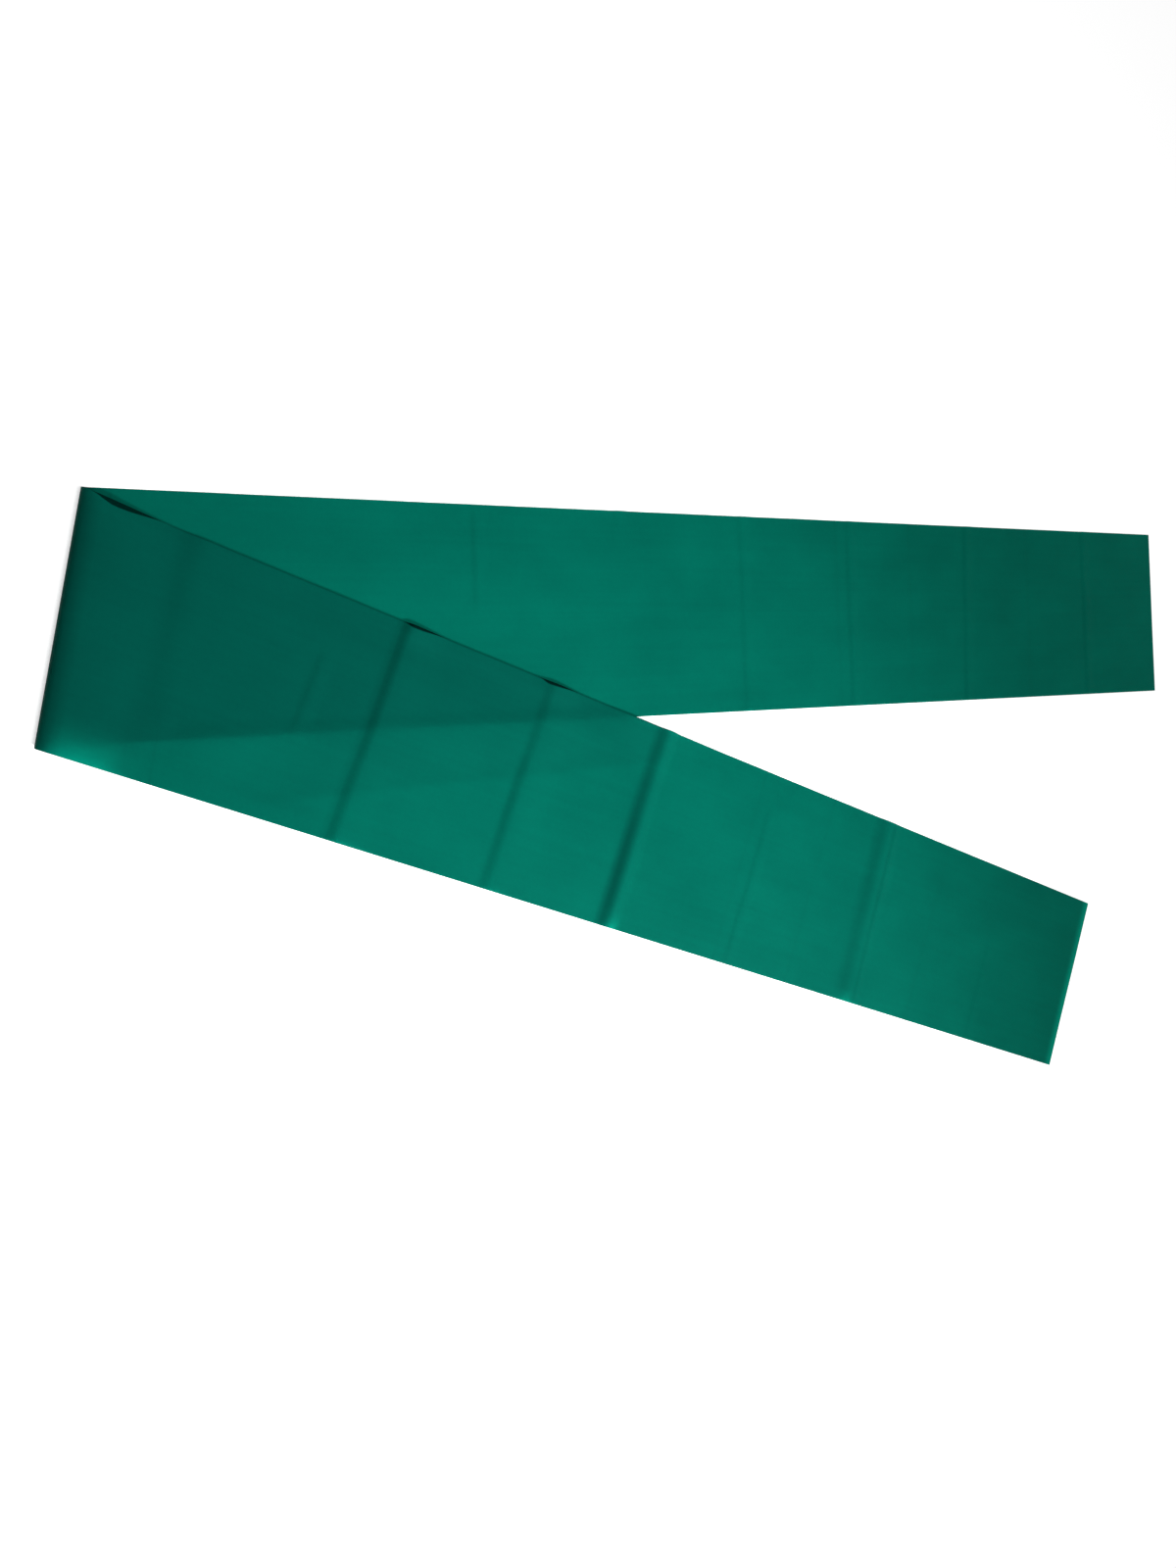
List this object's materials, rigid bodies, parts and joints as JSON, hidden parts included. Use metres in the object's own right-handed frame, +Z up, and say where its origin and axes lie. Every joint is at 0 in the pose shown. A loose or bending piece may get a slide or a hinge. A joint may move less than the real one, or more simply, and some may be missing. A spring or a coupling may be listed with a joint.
{
  "type": "resistance band",
  "caption": "Flat latex resistance band folded over on itself and laid out as a shallow V; it opens at the fold, stretches and curls.",
  "frame": {"origin": "middle of the band's footprint, on the ground that it lies on", "axes": "+X from the fold towards the two cut ends, along the line that halves the V; +Y towards the under leg's side; +Z up, out of the sheet"},
  "size_m": [0.9328, 0.5034, 0.0084],
  "materials": {
    "latex": "satin"
  },
  "bodies": {
    "under_leg_inner": {"under_leg_inner": "latex", "fold_loop": "latex"},
    "under_leg_middle": {"under_leg_middle": "latex"},
    "under_leg_panel_1": {"under_leg_panel_1": "latex"},
    "under_leg_panel_2": {"under_leg_panel_2": "latex"},
    "under_leg_end": {"under_leg_end": "latex"},
    "top_leg_inner": {"top_leg_inner": "latex"},
    "top_leg_middle": {"top_leg_middle": "latex", "top_leg_step_down": "latex"},
    "top_leg_panel_1": {"top_leg_panel_1": "latex"},
    "top_leg_panel_2": {"top_leg_panel_2": "latex"},
    "top_leg_end": {"top_leg_end": "latex"}
  },
  "joints": [
    {"name": "fold", "type": "hinge", "parent": "under_leg_inner", "child": "top_leg_inner", "pos_m": [-0.46876, -0.00497, 0.00235], "axis": [0, 1, 0], "range_deg": [-179.9, 0], "deforming": ["fold_loop"]},
    {"name": "under_leg_stretch", "type": "slide", "parent": "under_leg_inner", "child": "under_leg_middle", "axis": [-0.9805, -0.1965, 0], "range_m": [-0.42, 0], "stiffness_N_per_m": 49},
    {"name": "under_leg_crease_1", "type": "hinge", "parent": "under_leg_middle", "child": "under_leg_panel_1", "pos_m": [0.09671, 0.10701, 0.0004], "axis": [0.1965, -0.9805, 0], "range_deg": [0, 80]},
    {"name": "under_leg_crease_2", "type": "hinge", "parent": "under_leg_panel_1", "child": "under_leg_panel_2", "pos_m": [0.21927, 0.13157, 0.0004], "axis": [0.1965, -0.9805, 0], "range_deg": [0, 80]},
    {"name": "under_leg_crease_3", "type": "hinge", "parent": "under_leg_panel_2", "child": "under_leg_end", "pos_m": [0.36242, 0.16025, 0.0004], "axis": [0.1965, -0.9805, 0], "range_deg": [0, 80]},
    {"name": "top_leg_stretch", "type": "slide", "parent": "top_leg_inner", "child": "top_leg_middle", "axis": [-0.9805, 0.1965, 0], "range_m": [-0.42, 0], "stiffness_N_per_m": 49},
    {"name": "top_leg_crease_1", "type": "hinge", "parent": "top_leg_middle", "child": "top_leg_panel_1", "pos_m": [0.03297, -0.10682, 0.0004], "axis": [-0.1965, -0.9805, 0], "range_deg": [0, 80]},
    {"name": "top_leg_crease_2", "type": "hinge", "parent": "top_leg_panel_1", "child": "top_leg_panel_2", "pos_m": [0.14279, -0.12882, 0.0004], "axis": [-0.1965, -0.9805, 0], "range_deg": [0, 80]},
    {"name": "top_leg_crease_3", "type": "hinge", "parent": "top_leg_panel_2", "child": "top_leg_end", "pos_m": [0.28496, -0.15731, 0.0004], "axis": [-0.1965, -0.9805, 0], "range_deg": [0, 80]}
  ]
}
